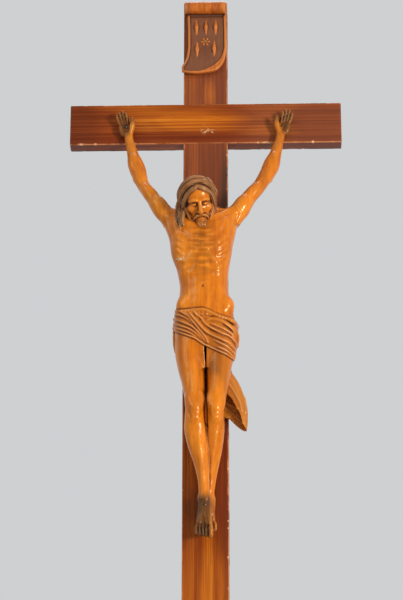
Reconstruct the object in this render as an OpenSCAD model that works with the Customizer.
// Processional cross: two lapped wooden planks in a brass staff socket, with a carved corpus and a scroll.
// Origin at the mouth of the staff socket, +Z up along the upright, front towards -Y, in millimetres.
// "Right" and "left" in the corpus's names are the figure's own, so its right arm is at -X.

/* [Cross] */
// Width of the upright and of the crossbar
plank_w = 60; // [50:1:72]
// Thickness of the upright and of the crossbar
plank_t = 20; // [16:1:26]
// Length of the upright, with its tenon
upright_l = 960; // [800:5:1160]
// Length of the crossbar
crossbar_l = 370; // [305:5:450]
// From the top of the upright down to the top of the crossbar
crossbar_drop = 160; // [133:1:200]
// Bevel along the long edges of the planks
plank_bevel = 1; // [0.4:0.1:2]

/* [Staff socket] */
// Bore of the tube that takes the staff
staff_d = 28; // [22:0.5:34]
// Depth of the staff in the tube
staff_depth = 76; // [60:1:92]
// Wall of the tube and of the sleeve
socket_wall = 2; // [1.5:0.1:2.5]
// Height of the sleeve around the upright's tenon
sleeve_h = 46; // [38:1:56]
// Thickness of the flange between the tube and the sleeve
flange_t = 4; // [3:0.5:6]
// Hole through the tube for the staff's locking pin
lock_pin_d = 5; // [4:0.5:6]

/* [Corpus] */
// Height of the figure from toes to crown
figure_h = 490; // [408:2:588]
// Diameter of the shoulder dowels
shoulder_dowel_d = 8; // [6:0.5:10]
// Length of each shoulder dowel
shoulder_dowel_l = 26; // [20:1:32]
// Diameter of the dowel that carries the hanging end of the loincloth
cloth_dowel_d = 4; // [3:0.5:5]
// Length of that dowel
cloth_dowel_l = 12; // [9:0.5:15]

/* [Scroll] */
// Width of the scroll's panel
scroll_w = 53; // [44:0.5:64]
// Height of the scroll, with its roll
scroll_h = 112; // [94:1:134]
// Diameter of the rolled top
scroll_roll_d = 18; // [15:0.5:22]
// Thickness of the panel at its rim
scroll_t = 6; // [5:0.25:7.5]
// Width of the raised rim
scroll_rim_w = 4.5; // [3.5:0.25:6]
// Depth of the field inside the rim
scroll_field_depth = 1.8; // [1.2:0.1:2.4]

/* [Fasteners] */
// Diameter of the figure's nails
nail_d = 2.4; // [1.8:0.1:3]
// Diameter of their heads
nail_head_d = 5; // [4:0.25:6]
// How far the nails go into the planks
nail_bite = 9; // [7:0.5:12]
// Diameter of the screws of the lap joint
lap_screw_d = 4; // [3:0.5:5]
// Wood left in front of the lap screws
lap_screw_cover = 3; // [2:0.5:4]
// Diameter of the screw that holds the figure from behind
corpus_screw_d = 5; // [4:0.5:6]
// How far that screw goes into the figure
corpus_screw_bite = 22; // [18:1:28]
// Diameter of the brass screws of the sleeve
sleeve_screw_d = 3; // [2.5:0.5:4]
// Radial clearance of dowels, nails and screws in their holes
fit_gap = 0.1; // [0.05:0.01:0.2]

/* [Hidden] */
$fn = 48;
LOFT_SIDES = 28;     // points around a lofted limb
BALL_SIDES = 16;     // facets of the balls that shape hands, feet and hair
NOMINAL_H = 490;     // the figure's height at which its stations are written
REACH = 400;         // larger than anything that a half space has to cut
OVERLAP = 0.001;     // by which the two lengths of a screw hole run into each other

OAK = [0.47, 0.22, 0.09];
HONEY = [0.85, 0.52, 0.14];
SCROLL_WOOD = [0.72, 0.38, 0.14];
BRASS = [0.79, 0.63, 0.31];
STEEL = [0.55, 0.54, 0.52];
BEECH = [0.80, 0.66, 0.46];

front_y = -plank_t / 2;
back_y = plank_t / 2;
tenon_z = staff_depth + flange_t;              // lower end of the upright
top_z = tenon_z + upright_l;
crossbar_z1 = top_z - crossbar_drop;
crossbar_z0 = crossbar_z1 - plank_w;
crossing_z = (crossbar_z0 + crossbar_z1) / 2;
fs = figure_h / NOMINAL_H;

tube_od = staff_d + 2 * socket_wall;
rim_od = tube_od + 2 * socket_wall;            // bead around the tube's mouth
rim_h = 3 * socket_wall;
flange_d = tube_od + 2 * flange_t;

lap_screw_l = plank_t - lap_screw_cover;
lap_screw_pitch = plank_w / 2;
sleeve_screw_l = plank_t * 0.4;
sleeve_screw_x = plank_w * 0.3;
sleeve_screw_z = tenon_z + sleeve_h * 0.6;
sleeve_screw_head = 1.7;                       // head diameter over shank diameter
wood_screw_head = 2;
corpus_screw_l = plank_t + corpus_screw_bite;

// ---- The figure's own frame: y 0 on the cross's front face, z 0 at the crossbar's lower edge ----

// Each station is [z, centre x, centre y, half width, half depth].
TORSO = [
    [-352, 3, -24, 25, 17], [-330, 1.2, -25, 40, 23], [-310, 1.2, -26, 41.5, 25.5],
    [-290, 1.5, -27, 42.5, 27.5], [-270, -0.3, -28.5, 39.8, 28.3], [-250, -0.6, -30, 35, 27.5],
    [-232, -0.9, -32, 32, 24.5], [-215, -1.8, -33.5, 33, 24.5], [-195, -3, -35, 36, 26.5],
    [-175, -3.8, -36, 40, 28.5], [-155, -4.2, -36, 44.5, 28.5], [-138, -5.5, -34.5, 48.5, 26],
    [-124, -6, -32.5, 46, 20], [-116, -6, -32, 32, 15], [-110, -6, -32, 16, 11]
];
RIGHT_LEG = [
    [-296, -19, -28, 17, 22], [-320, -20, -28, 18.6, 23], [-340, -18, -29.5, 17.6, 21.5],
    [-360, -14.8, -32, 15.8, 19], [-380, -12.6, -36, 13.4, 16.5], [-400, -12.2, -40.5, 12.2, 15.5],
    [-414, -12.8, -40, 13.2, 15], [-430, -11.4, -36, 14.6, 15.2], [-450, -8.2, -33, 13.2, 14.5],
    [-470, -4.4, -32, 10, 11.5], [-490, -1.8, -31.5, 7.8, 9], [-510, -0.6, -31, 7.2, 8.6],
    [-528, -0.8, -31, 7.4, 9]
];
LEFT_LEG = [
    [-296, 20, -28, 17, 22], [-320, 20, -28, 18, 22.5], [-340, 18, -29.5, 17, 21],
    [-360, 16.8, -32, 15, 18.5], [-380, 15.2, -36, 12.8, 16], [-400, 14.2, -40, 11.6, 15],
    [-414, 13.8, -39, 11.6, 14.5], [-430, 13, -34, 12.4, 14.5], [-450, 10.5, -28, 12, 14],
    [-470, 8, -22, 10, 11], [-490, 6, -17, 8, 9], [-510, 4.4, -13.5, 7, 8.2], [-526, 4.2, -12, 7.2, 8.6]
];
RIGHT_ARM = [
    [-130, -48, -33, 10, 9], [-120, -54, -33, 12, 11], [-110, -60, -32, 12.4, 12],
    [-100, -65.5, -30, 12.2, 11.5], [-90, -72.8, -28, 10.8, 10.6], [-80, -79, -26, 10, 10],
    [-70, -84.8, -23.5, 9.8, 9.8], [-60, -87.8, -21, 10.6, 9.6], [-50, -90, -18.5, 10.8, 9.2],
    [-40, -93, -16, 10.2, 8.6], [-30, -96, -14, 8.8, 7.6], [-15, -99.5, -11, 7.4, 6.2],
    [0, -103.2, -8, 6, 5.2], [12, -104.5, -6.5, 7, 5]
];
LEFT_ARM = [
    [-130, 40, -33, 10, 9], [-120, 44, -33, 12, 11], [-110, 49, -32, 13.4, 12], [-100, 54.8, -30, 13.4, 11.5],
    [-90, 63.2, -28, 13, 10.6], [-80, 70.2, -26, 12, 10], [-70, 77, -23.5, 11.6, 9.8],
    [-60, 81.8, -21, 11.8, 9.6], [-50, 86, -18.5, 11.8, 9.2], [-40, 89, -16, 11, 8.6],
    [-30, 92.8, -14, 9, 7.6], [-15, 96.8, -11, 7.4, 6.2], [0, 100.5, -8, 6, 5.2], [12, 102.5, -6.5, 7, 5]
];

// Seam of each arm: a point of its plane, and the turn about Y that brings +X to the outward normal
RIGHT_SEAM = [-52.5, -33, -117];
RIGHT_SEAM_TURN = 194;
LEFT_SEAM = [42, -33, -112];
LEFT_SEAM_TURN = -30;

HAND_NAILS = [[-108.5, -10.2, 22], [104.5, -10.2, 21]];
FOOT_NAIL = [0, -40.5, -529];
BACK_SCREW = [1, 0, -290];
CLOTH_SEAT = [27, -13, -346];   // flat behind the left thigh where the hanging end is glued

function hung(p) = [p.x * fs, front_y + p.y * fs, crossbar_z0 + p.z * fs];
function blend(a, b, c, d, t) =
    0.5 * (2 * b + (c - a) * t + (2 * a - 5 * b + 4 * c - d) * t * t + (3 * b - a - 3 * c + d) * t * t * t);
function refined(s, parts) = [
    for (i = [0:len(s) - 2], j = [0:parts - 1])
        blend(s[max(i - 1, 0)], s[i], s[i + 1], s[min(i + 2, len(s) - 1)], j / parts),
    s[len(s) - 1]
];
function arc(c, r, from, to, parts = 12) =
    [for (i = [0:parts]) let (a = from + (to - from) * i / parts) c + r * [cos(a), sin(a)]];

module hang() { translate([0, front_y, crossbar_z0]) scale(fs) children(); }
module ball(p, r) { translate(p) sphere(r, $fn = BALL_SIDES); }
module link(p, q, rp, rq) { hull() { ball(p, rp); ball(q, rq); } }

// A limb through elliptical rings at the stations, listed from the top down or from the bottom up
module loft(stations) {
    up = stations[0][0] < stations[len(stations) - 1][0];
    s = refined(stations, 3);
    n = LOFT_SIDES;
    rings = len(s);
    points = [for (k = [0:rings - 1], i = [0:n - 1])
        let (r = s[up ? k : rings - 1 - k], a = 360 * i / n)
        [r[1] + r[3] * cos(a), r[2] + r[4] * sin(a), r[0]]];
    walls = [for (k = [0:rings - 2], i = [0:n - 1])
        let (a = k * n + i, b = k * n + (i + 1) % n) each [[a, a + n, b + n], [a, b + n, b]]];
    floor_face = [for (i = [0:n - 1]) i];
    roof_face = [for (i = [n - 1:-1:0]) (rings - 1) * n + i];
    polyhedron(points, concat(walls, [floor_face, roof_face]), convexity = 6);
}

// Everything beyond a plane: the plane's point, and the turn that brings +X to its outward normal
module beyond(point, turn) {
    translate(point) rotate([0, turn, 0]) translate([0, -REACH / 2, -REACH / 2]) cube(REACH);
}
module in_front() { translate([-REACH, -REACH, -2 * REACH]) cube([2 * REACH, REACH, 3 * REACH]); }

// ---- Fasteners, built along +Z with the head at the top, then laid along Y ----

module facing_front(p) { translate(p) rotate([90, 0, 0]) children(); }
module facing_back(p) { translate(p) rotate([-90, 0, 0]) children(); }

module nail(l) {
    translate([0, 0, -l]) cylinder(d = nail_d, h = l);
    intersection() {
        cylinder(d = nail_head_d, h = nail_head_d);
        translate([0, 0, -nail_head_d * 0.45]) sphere(nail_head_d * 0.67);
    }
}
module nail_hole(l) {
    translate([0, 0, -l - fit_gap]) cylinder(d = nail_d + 2 * fit_gap, h = l + fit_gap);
    cylinder(d = nail_head_d + 2 * fit_gap, h = 10 * nail_head_d);
}
// Countersunk screw whose flat head lies at z 0
module screw(d, l, head) {
    head_h = (head - 1) * d / 2;
    difference() {
        union() {
            translate([0, 0, -l]) cylinder(d = d, h = l - head_h / 2);
            translate([0, 0, -head_h]) cylinder(d1 = d, d2 = head * d, h = head_h);
        }
        translate([-d * head, -d / 8, -head_h * 0.45]) cube([2 * d * head, d / 4, head_h]);
    }
}
module screw_hole(d, l, head) {
    g = 2 * fit_gap;
    head_h = (head - 1) * d / 2;
    translate([0, 0, -l - fit_gap]) cylinder(d = d + g, h = l + fit_gap);
    translate([0, 0, -head_h]) cylinder(d1 = d + g, d2 = head * d + g, h = head_h + OVERLAP);
    cylinder(d = head * d + g, h = d);
}
module lap_screw_places() {
    for (x = [-1, 1], z = [-1, 1])
        facing_back([x * lap_screw_pitch / 2, back_y, crossing_z + z * lap_screw_pitch / 2]) children();
}
module sleeve_screw_places() {
    for (x = [-1, 1]) {
        facing_front([x * sleeve_screw_x, front_y, sleeve_screw_z]) children();
        facing_back([x * sleeve_screw_x, back_y, sleeve_screw_z]) children();
    }
}
module hand_nail_places() { for (p = HAND_NAILS) facing_front(hung(p)) children(); }
hand_nail_l = -HAND_NAILS[0].y * fs + nail_bite;
foot_nail_l = -FOOT_NAIL.y * fs + nail_bite;

// ---- Cross ----

// Cross section of a plank, with its long edges bevelled
module plank_section() {
    w = plank_w / 2;
    t = plank_t / 2;
    b = plank_bevel;
    polygon([
        [-w + b, -t], [w - b, -t], [w, -t + b], [w, t - b],
        [w - b, t], [-w + b, t], [-w, t - b], [-w, -t + b]
    ]);
}

module upright() {
    color(OAK) difference() {
        union() {
            translate([0, 0, tenon_z + sleeve_h]) linear_extrude(upright_l - sleeve_h) plank_section();
            translate([-plank_w / 2 + socket_wall, front_y + socket_wall, tenon_z])
                cube([plank_w - 2 * socket_wall, plank_t - 2 * socket_wall, sleeve_h + 1]);
        }
        // Front half cut away where the crossbar lies
        translate([-plank_w, front_y - 1, crossbar_z0]) cube([2 * plank_w, plank_t / 2 + 1, plank_w]);
        lap_screw_places() screw_hole(lap_screw_d, lap_screw_l, wood_screw_head);
        sleeve_screw_places() screw_hole(sleeve_screw_d, sleeve_screw_l, sleeve_screw_head);
        facing_back([hung(BACK_SCREW).x, back_y, hung(BACK_SCREW).z])
            screw_hole(corpus_screw_d, corpus_screw_l, wood_screw_head);
        facing_front(hung(FOOT_NAIL)) nail_hole(foot_nail_l);
        facing_front(brad_place) brad_hole();
    }
}

module crossbar() {
    color(OAK) difference() {
        translate([-crossbar_l / 2, 0, crossing_z]) rotate([0, 90, 0])
            linear_extrude(crossbar_l) plank_section();
        // Back half cut away where the upright passes
        translate([-plank_w / 2, 0, crossbar_z0 - 1]) cube([plank_w, plank_t, plank_w + 2]);
        lap_screw_places() screw_hole(lap_screw_d, lap_screw_l, wood_screw_head);
        hand_nail_places() nail_hole(hand_nail_l);
    }
}

module lap_screws() { color(STEEL) lap_screw_places() screw(lap_screw_d, lap_screw_l, wood_screw_head); }

// ---- Scroll, with a bare field ----

scroll_top_z = top_z - 5;
scroll_z0 = scroll_top_z - scroll_h;
roll_z = scroll_top_z - scroll_roll_d / 2;
scroll_lift = scroll_t * 0.8;                  // how far the lower edge stands off the upright
scroll_flat_z = scroll_z0 + scroll_h * 0.4;    // where the panel leaves the upright
brad_place = [0, front_y - scroll_t + scroll_field_depth, scroll_z0 + scroll_h * 0.47];
brad_d = 1.6;
brad_head_d = 3;
brad_l = scroll_t + 10;

// Front outline, drawn in x and z: straight sides, a pointed lower left corner and a round lower right one
module scroll_outline(inset = 0) {
    w = scroll_w / 2;
    r = scroll_w * 0.42;
    polygon(concat(
        [[-w + inset, roll_z], [-w + inset, scroll_z0 + r * 1.3]],
        [[-w - 6 + 1.6 * inset, scroll_z0 + 6 + inset / 2], [-w - 5 + 2 * inset, scroll_z0 + 1 + inset]],
        arc([w - r, scroll_z0 + r + 3], r - inset, -90, 0),
        [[w - inset, roll_z]]
    ));
}
// Side outline, drawn in y and z: flat on the upright above, lifted in an arc below
module scroll_side(t) {
    steps = [0:12];
    rise = scroll_flat_z - scroll_z0;
    back = [for (i = steps) let (u = 1 - i / 12) [front_y - scroll_lift * u * u, scroll_flat_z - rise * u]];
    polygon(concat(
        [for (p = back) p - [t, 0]],
        [[front_y - t, roll_z], [front_y, roll_z]],
        [for (i = [12:-1:0]) back[i]]
    ));
}
module front_prism(depth) { rotate([90, 0, 0]) linear_extrude(depth) children(); }
module side_prism() {
    translate([-scroll_w, 0, 0]) rotate([90, 0, 90]) linear_extrude(2 * scroll_w) children();
}

module titulus_scroll() {
    roll_l = scroll_w + 1.5;
    color(SCROLL_WOOD) difference() {
        union() {
            difference() {
                intersection() {
                    front_prism(REACH) scroll_outline();
                    side_prism() scroll_side(scroll_t);
                }
                difference() {
                    front_prism(REACH) scroll_outline(scroll_rim_w);
                    side_prism() scroll_side(scroll_t - scroll_field_depth);
                }
            }
            translate([-roll_l / 2 - 2, front_y - scroll_roll_d / 2, roll_z]) rotate([0, 90, 0])
                cylinder(d = scroll_roll_d, h = roll_l);
        }
        facing_front(brad_place) brad_hole();
    }
}
module titulus_brad() {
    color(STEEL) facing_front(brad_place) {
        translate([0, 0, -brad_l]) cylinder(d = brad_d, h = brad_l);
        cylinder(d = brad_head_d, h = brad_d / 2);
    }
}
module brad_hole() {
    translate([0, 0, -brad_l - fit_gap]) cylinder(d = brad_d + 2 * fit_gap, h = brad_l + fit_gap);
}

// ---- Corpus ----

module shoulder_dowel_holes(extra = 0) {
    for (s = [[RIGHT_SEAM, RIGHT_SEAM_TURN], [LEFT_SEAM, LEFT_SEAM_TURN]])
        translate(hung(s[0])) rotate([0, s[1] + 90, 0])
            cylinder(d = shoulder_dowel_d + 2 * extra, h = shoulder_dowel_l + 2 * extra, center = true);
}
module cloth_dowel_hole(extra = 0) {
    p = hung(CLOTH_SEAT);
    translate([p.x, p.y, p.z]) rotate([90, 0, 0])
        cylinder(d = cloth_dowel_d + 2 * extra, h = cloth_dowel_l + 2 * extra, center = true);
}

module loincloth() {
    difference() {
        scale([1.035, 1.03, 1]) loft(TORSO);
        translate([0, 0, -260]) rotate([0, -1.5, 0]) translate([-REACH / 2, -REACH / 2, 0]) cube(REACH);
        translate([0, 0, -311]) rotate([0, 29, 0]) translate([-REACH / 2, -REACH / 2, -REACH]) cube(REACH);
    }
    link([-14, -55, -262], [6, -56, -264], 5, 4.5);
    link([6, -56, -264], [38, -42, -280], 4.5, 4.5);
    link([38, -42, -280], [42, -26, -296], 4.5, 4.5);
}
module torso() {
    difference() {
        loft(TORSO);
        translate([0, 0, -318]) rotate([0, 29, 0]) translate([-REACH / 2, -REACH / 2, -REACH]) cube(REACH);
    }
    link([-26, -33, -134], [-56, -33, -117], 15.5, 11);
    link([20, -33, -135], [48, -33, -115], 15.5, 11);
    link([-4, -38, -126], [-9, -54, -110], 15, 13);
}
module head() {
    hull() { ball([-8, -60, -124], 16); ball([-12, -54, -106], 22); ball([-11, -63, -102], 18); }
    hull() { ball([-7, -71, -132], 9); ball([-5, -68, -147], 4.5); }
    link([-27, -52, -106], [-33, -57, -132], 10, 6);
    link([-33, -57, -132], [-31, -62, -154], 6, 2.5);
    link([6, -54, -104], [10, -54, -128], 9, 4);
}
module foot(heel, toe) {
    hull() {
        ball(heel, 7.5);
        ball(toe + [-6, 0, 8], 4.4);
        ball(toe + [6, 0, 8], 4.4);
        ball(toe + [-5.5, 0, 0], 3.4);
        ball(toe + [5.5, 0, 1], 3.4);
    }
}

module corpus_body() {
    color(HONEY) difference() {
        hang() intersection() {
            difference() {
                union() {
                    torso();
                    head();
                    loincloth();
                    loft(RIGHT_LEG);
                    loft(LEFT_LEG);
                    foot([-0.5, -28, -532], [-4.6, -38, -569]);
                    foot([4.5, -10, -526], [4.6, -20, -558]);
                    link([2, -12, -545], [1, -30, -545], 5, 5);
                }
                beyond(RIGHT_SEAM, RIGHT_SEAM_TURN);
                beyond(LEFT_SEAM, LEFT_SEAM_TURN);
                translate([CLOTH_SEAT.x - 15, CLOTH_SEAT.y, CLOTH_SEAT.z - 20]) cube([40, 40, 40]);
            }
            in_front();
        }
        shoulder_dowel_holes(2 * fit_gap);
        cloth_dowel_hole(2 * fit_gap);
        facing_front(hung(FOOT_NAIL)) nail_hole(foot_nail_l);
        facing_back([hung(BACK_SCREW).x, back_y, hung(BACK_SCREW).z])
            screw_hole(corpus_screw_d, corpus_screw_l, wood_screw_head);
    }
}

// Open hand at the end of the right arm, palm forward and fingers up; the left hand is its mirror image
module hand() {
    hull() {
        ball([-100, -5.2, 9], 5);
        ball([-107, -5.2, 8], 5);
        ball([-114, -5.2, 25], 4);
        ball([-103, -5.2, 26], 4);
    }
    for (i = [0:3])
        link([-114.5 + 3.7 * i, -5, 26], [-118.6 + 4.1 * i, -7 - i, 38.5 + 1.2 * (i % 3)], 2.6, 2.2);
    link([-98.5, -7, 13], [-97.6, -10, 24], 4, 3);
    link([-97.6, -10, 24], [-98, -11, 33], 3, 2.3);
}
// out is the side that the arm grows to: -1 for the right arm, 1 for the left
module arm(stations, seam, turn, out) {
    color(HONEY) difference() {
        hang() intersection() {
            union() {
                loft(stations);
                if (out < 0) hand(); else mirror([1, 0, 0]) hand();
                link([seam.x + 4 * out, -33, -118], [seam.x + 9 * out, -32, -107], 11, 11.5);
            }
            beyond(seam, turn);
            in_front();
        }
        shoulder_dowel_holes(2 * fit_gap);
        hand_nail_places() nail_hole(hand_nail_l);
    }
}
module corpus_arm_right() { arm(RIGHT_ARM, RIGHT_SEAM, RIGHT_SEAM_TURN, -1); }
module corpus_arm_left() { arm(LEFT_ARM, LEFT_SEAM, LEFT_SEAM_TURN, 1); }
module shoulder_dowels() { color(BEECH) shoulder_dowel_holes(); }

// Hanging end of the loincloth: a root behind the thigh, then two folds that swing out and down
module loincloth_end() {
    color(HONEY) difference() {
        hang() intersection() {
            union() {
                hull() {
                    ball([18, -9, -336], 4);
                    ball([34, -9, -334], 4);
                    ball([24, -9, -375], 4);
                    ball([44, -12, -366], 4);
                }
                hull() {
                    ball([38, -12, -352], 3.5);
                    ball([28, -11, -388], 4);
                    ball([54, -13, -396], 3);
                    ball([52, -14, -420], 2.5);
                }
                hull() {
                    ball([28, -9, -380], 4);
                    ball([36, -9, -398], 3.5);
                    ball([52, -12, -422], 2.2);
                }
            }
            translate([-REACH / 2, CLOTH_SEAT.y, -2 * REACH]) cube([REACH, -CLOTH_SEAT.y - 1, 2 * REACH]);
        }
        cloth_dowel_hole(fit_gap);
    }
}
module loincloth_dowel() { color(BEECH) cloth_dowel_hole(); }

module hand_nails() { color(STEEL) hand_nail_places() nail(hand_nail_l); }
module foot_nail() { color(STEEL) facing_front(hung(FOOT_NAIL)) nail(foot_nail_l); }
module corpus_screw() {
    color(STEEL) facing_back([hung(BACK_SCREW).x, back_y, hung(BACK_SCREW).z])
        screw(corpus_screw_d, corpus_screw_l, wood_screw_head);
}

// ---- Staff socket ----

module socket_sleeve() {
    color(BRASS) difference() {
        union() {
            translate([-plank_w / 2, front_y, staff_depth]) cube([plank_w, plank_t, flange_t + sleeve_h]);
            translate([0, 0, staff_depth]) cylinder(d = flange_d, h = flange_t);
        }
        translate([-plank_w / 2 + socket_wall, front_y + socket_wall, tenon_z])
            cube([plank_w - 2 * socket_wall, plank_t - 2 * socket_wall, sleeve_h + 1]);
        sleeve_screw_places() screw_hole(sleeve_screw_d, sleeve_screw_l, sleeve_screw_head);
    }
}
module staff_tube() {
    color(BRASS) difference() {
        union() {
            cylinder(d = tube_od, h = staff_depth);
            cylinder(d = rim_od, h = rim_h);
        }
        translate([0, 0, -1]) cylinder(d = staff_d, h = staff_depth + 2);
        translate([0, 0, staff_depth / 2]) rotate([90, 0, 0])
            cylinder(d = lock_pin_d, h = 2 * tube_od, center = true);
    }
}
module sleeve_screws() {
    color(BRASS) sleeve_screw_places() screw(sleeve_screw_d, sleeve_screw_l, sleeve_screw_head);
}

upright();
crossbar();
lap_screws();
titulus_scroll();
titulus_brad();
corpus_body();
corpus_arm_right();
corpus_arm_left();
shoulder_dowels();
loincloth_end();
loincloth_dowel();
hand_nails();
foot_nail();
corpus_screw();
socket_sleeve();
staff_tube();
sleeve_screws();
